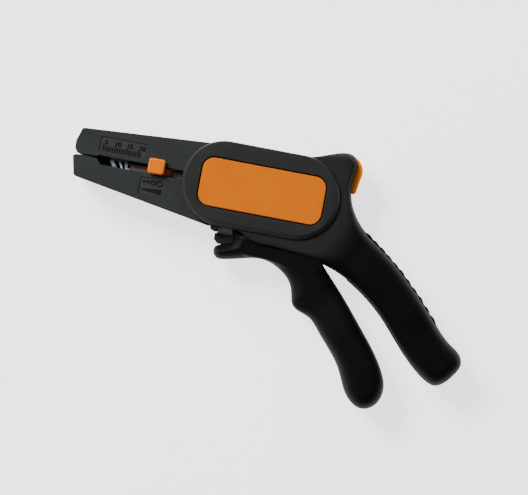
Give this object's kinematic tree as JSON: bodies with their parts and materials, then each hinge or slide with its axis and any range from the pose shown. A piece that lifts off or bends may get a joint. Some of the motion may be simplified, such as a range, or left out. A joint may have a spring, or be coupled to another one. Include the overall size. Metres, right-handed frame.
{
  "type": "wire stripper",
  "caption": "Self-adjusting pistol-grip wire stripper: clamping jaws, drawn-back blades, squeeze trigger, length stop, release catch and side cutter.",
  "frame": {"origin": "centre of the bounding box at the bottom, the tool lying flat on its right-hand cover", "axes": "+Z out of the tool's left side, along its thickness; -X along the jaws towards their tips; +Y towards the tool's top edge, away from the grip"},
  "size_m": [0.18, 0.1066, 0.022],
  "materials": {
    "body_plastic": "fine moulded grain, semi-matt",
    "jaw_plastic": "glass-filled plastic, matt",
    "orange_plastic": "satin",
    "steel": "ground",
    "plated_steel": "zinc plated",
    "blade_steel": "ground, hardened",
    "spring_steel": "drawn wire",
    "guard_plastic": "matt"
  },
  "bodies": {
    "housing": {"left_housing": "body_plastic", "right_housing": "body_plastic", "left_cover": "body_plastic", "right_cover": "body_plastic", "upper_jaw": "jaw_plastic", "left_panel": "orange_plastic", "right_panel": "orange_plastic", "trigger_pin": "steel", "lever_pin": "steel", "jaw_pivot_pin": "steel", "upper_jaw_pin": "steel", "catch_pin": "steel", "cutter_pins": "steel", "spring_seat": "plated_steel", "housing_screws": "plated_steel", "cutter_blade": "blade_steel", "upper_clamp_pad": "blade_steel", "return_spring": "spring_steel", "jaw_spring": "spring_steel", "cutter_guard": "guard_plastic"},
    "lower_jaw": {"lower_jaw": "jaw_plastic", "lower_clamp_pad": "blade_steel"},
    "trigger": {"trigger": "body_plastic", "drive_pin": "steel"},
    "pull_lever": {"pull_lever": "plated_steel"},
    "pull_bar": {"pull_bar": "plated_steel", "pull_bar_pin": "steel", "blade_carriage": "plated_steel"},
    "upper_blade": {"upper_blade": "blade_steel"},
    "lower_blade": {"lower_blade": "blade_steel"},
    "length_stop": {"length_stop": "orange_plastic"},
    "release_catch": {"release_catch": "orange_plastic"}
  },
  "joints": [
    {"name": "trigger_squeeze", "type": "hinge", "parent": "housing", "child": "trigger", "pos_m": [0.01805, 0.0406, 0.011], "axis": [0, 0, 1], "range_deg": [0, 7], "stiffness_Nm_per_rad": 1.5, "springref_deg": -6.88},
    {"name": "lever_swing", "type": "hinge", "parent": "housing", "child": "pull_lever", "pos_m": [0.01805, 0.0183, 0.011], "axis": [0, 0, 1], "range_deg": [-28.1, 0]},
    {"name": "bar_pull", "type": "slide", "parent": "housing", "child": "pull_bar", "axis": [1, 0, 0], "range_m": [0, 0.0065], "deforming": ["return_spring"]},
    {"name": "upper_blade_close", "type": "slide", "parent": "pull_bar", "child": "upper_blade", "axis": [0, -1, 0], "range_m": [0, 0.0005]},
    {"name": "lower_blade_close", "type": "slide", "parent": "pull_bar", "child": "lower_blade", "axis": [0, 1, 0], "range_m": [0, 0.0005]},
    {"name": "jaw_open", "type": "hinge", "parent": "housing", "child": "lower_jaw", "pos_m": [-0.02545, 0.0248, 0.011], "axis": [0, 0, 1], "range_deg": [0, 6], "stiffness_Nm_per_rad": 0.4, "springref_deg": -8.59},
    {"name": "stop_slide", "type": "slide", "parent": "housing", "child": "length_stop", "axis": [1, 0, 0], "range_m": [-0.016, 0.005]},
    {"name": "catch_press", "type": "hinge", "parent": "housing", "child": "release_catch", "pos_m": [0.02825, 0.0482, 0.011], "axis": [0, 0, -1], "range_deg": [0, 7], "stiffness_Nm_per_rad": 0.05, "springref_deg": -8.59}
  ],
  "couplings": [
    {"joint": "lever_swing", "follows": "trigger_squeeze", "ratio": -3.9714},
    {"joint": "bar_pull", "follows": "trigger_squeeze", "m_per_rad": 0.052385},
    {"joint": "upper_blade_close", "follows": "trigger_squeeze", "m_per_rad": 0.003683},
    {"joint": "lower_blade_close", "follows": "trigger_squeeze", "m_per_rad": 0.003683}
  ]
}
